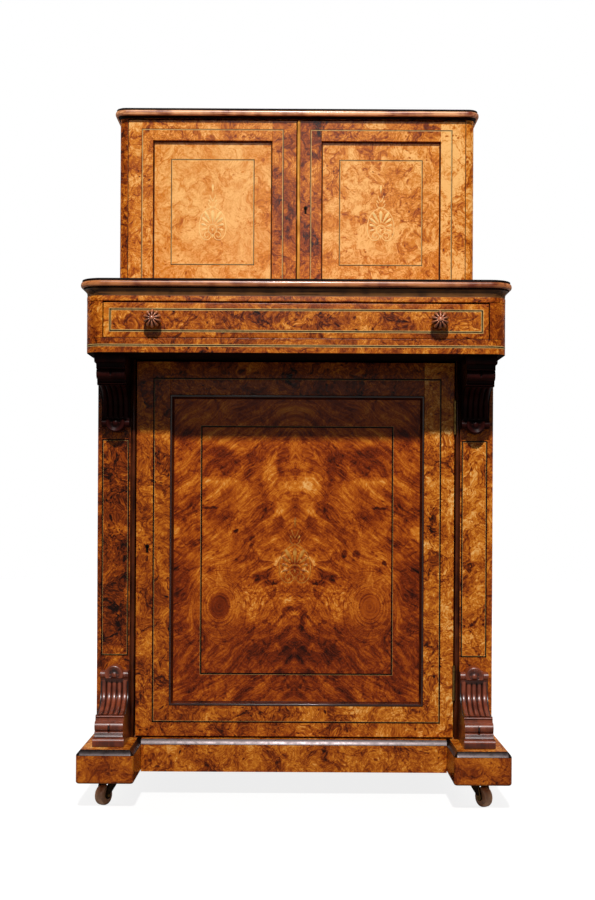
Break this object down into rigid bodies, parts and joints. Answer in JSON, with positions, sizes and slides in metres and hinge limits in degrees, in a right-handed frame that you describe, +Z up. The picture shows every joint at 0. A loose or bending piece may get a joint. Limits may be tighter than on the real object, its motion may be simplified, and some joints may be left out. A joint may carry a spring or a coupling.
{
  "type": "ladies desk",
  "caption": "Walnut ladies desk: a cupboard pedestal on castors, a long drawer overhanging it on carved brackets, and a shallow cabinet with doors along the back of the top.",
  "frame": {"origin": "on the floor, under the middle of the desk's outline", "axes": "+Z up, -Y to the front where the doors and the drawer open, +X to the right as seen from the front"},
  "size_m": [0.659, 0.548, 1.1353],
  "materials": {
    "walnut": "French-polished walnut veneer",
    "burr": "French-polished burr walnut veneer",
    "carved": "carved and polished walnut",
    "carcase": "stained pine",
    "lining": "oiled mahogany",
    "brass": "aged",
    "iron": "blackened",
    "ceramic": "brown glaze"
  },
  "bodies": {
    "desk": {"plinth_runner_left": "walnut", "plinth_runner_right": "walnut", "plinth_front_rail": "walnut", "pedestal_side_left": "walnut", "pedestal_side_right": "walnut", "pilaster_left": "walnut", "pilaster_right": "walnut", "pedestal_back": "carcase", "pedestal_floor": "carcase", "cupboard_shelf": "carcase", "console_left": "carved", "console_right": "carved", "scroll_foot_left": "carved", "scroll_foot_right": "carved", "cupboard_hinge_top_case_leaf": "brass", "cupboard_hinge_bottom_case_leaf": "brass", "drawer_case_floor": "walnut", "drawer_case_side_left": "walnut", "drawer_case_side_right": "walnut", "drawer_case_back": "carcase", "frieze_board": "walnut", "desk_top": "walnut", "upper_side_left": "walnut", "upper_side_right": "walnut", "upper_back": "carcase", "upper_shelf": "carcase", "cornice_top": "walnut", "left_door_pivot_top": "brass", "left_door_pivot_bottom": "brass", "right_door_pivot_top": "brass", "right_door_pivot_bottom": "brass", "castor_plate_front_left": "brass", "castor_plate_front_right": "brass", "castor_plate_back_left": "brass", "castor_plate_back_right": "brass"},
    "cupboard_door": {"cupboard_door_frame": "walnut", "cupboard_door_panel": "burr", "cupboard_lock": "iron", "cupboard_hinge_top_door_leaf": "brass", "cupboard_hinge_bottom_door_leaf": "brass"},
    "drawer": {"drawer_front": "burr", "drawer_side_left": "lining", "drawer_side_right": "lining", "drawer_back": "lining", "drawer_bottom": "lining", "knob_left": "carved", "knob_right": "carved"},
    "left_door": {"left_door_frame": "walnut", "left_door_panel": "burr"},
    "right_door": {"right_door_frame": "walnut", "right_door_panel": "burr", "upper_lock": "iron"},
    "front_left_horn": {"castor_horn_front_left": "brass"},
    "front_right_horn": {"castor_horn_front_right": "brass"},
    "back_left_horn": {"castor_horn_back_left": "brass"},
    "back_right_horn": {"castor_horn_back_right": "brass"},
    "front_left_wheel": {"castor_wheel_front_left": "ceramic"},
    "front_right_wheel": {"castor_wheel_front_right": "ceramic"},
    "back_left_wheel": {"castor_wheel_back_left": "ceramic"},
    "back_right_wheel": {"castor_wheel_back_right": "ceramic"}
  },
  "joints": [
    {"name": "cupboard_door_hinge", "type": "hinge", "parent": "desk", "child": "cupboard_door", "pos_m": [0.2535, -0.137, 0.3915], "axis": [0, 0, 1], "range_deg": [0, 90]},
    {"name": "drawer_slide", "type": "slide", "parent": "desk", "child": "drawer", "axis": [0, -1, 0], "range_m": [0, 0.3]},
    {"name": "left_door_hinge", "type": "hinge", "parent": "desk", "child": "left_door", "pos_m": [-0.2777, 0.0386, 0.962], "axis": [0, 0, -1], "range_deg": [0, 105]},
    {"name": "right_door_hinge", "type": "hinge", "parent": "desk", "child": "right_door", "pos_m": [0.2777, 0.0386, 0.962], "axis": [0, 0, 1], "range_deg": [0, 105]},
    {"name": "front_left_swivel", "type": "hinge", "parent": "desk", "child": "front_left_horn", "pos_m": [-0.28575, -0.202, 0.0346], "axis": [0, 0, 1], "continuous": true},
    {"name": "front_right_swivel", "type": "hinge", "parent": "desk", "child": "front_right_horn", "pos_m": [0.28575, -0.202, 0.0346], "axis": [0, 0, 1], "continuous": true},
    {"name": "back_left_swivel", "type": "hinge", "parent": "desk", "child": "back_left_horn", "pos_m": [-0.28575, 0.22, 0.0346], "axis": [0, 0, 1], "continuous": true},
    {"name": "back_right_swivel", "type": "hinge", "parent": "desk", "child": "back_right_horn", "pos_m": [0.28575, 0.22, 0.0346], "axis": [0, 0, 1], "continuous": true},
    {"name": "front_left_roll", "type": "hinge", "parent": "front_left_horn", "child": "front_left_wheel", "pos_m": [-0.29225, -0.21326, 0.0155], "axis": [0.866, -0.5, 0], "continuous": true},
    {"name": "front_right_roll", "type": "hinge", "parent": "front_right_horn", "child": "front_right_wheel", "pos_m": [0.29225, -0.21326, 0.0155], "axis": [0.866, 0.5, 0], "continuous": true},
    {"name": "back_left_roll", "type": "hinge", "parent": "back_left_horn", "child": "back_left_wheel", "pos_m": [-0.29225, 0.23126, 0.0155], "axis": [-0.866, -0.5, 0], "continuous": true},
    {"name": "back_right_roll", "type": "hinge", "parent": "back_right_horn", "child": "back_right_wheel", "pos_m": [0.29225, 0.23126, 0.0155], "axis": [-0.866, 0.5, 0], "continuous": true}
  ]
}
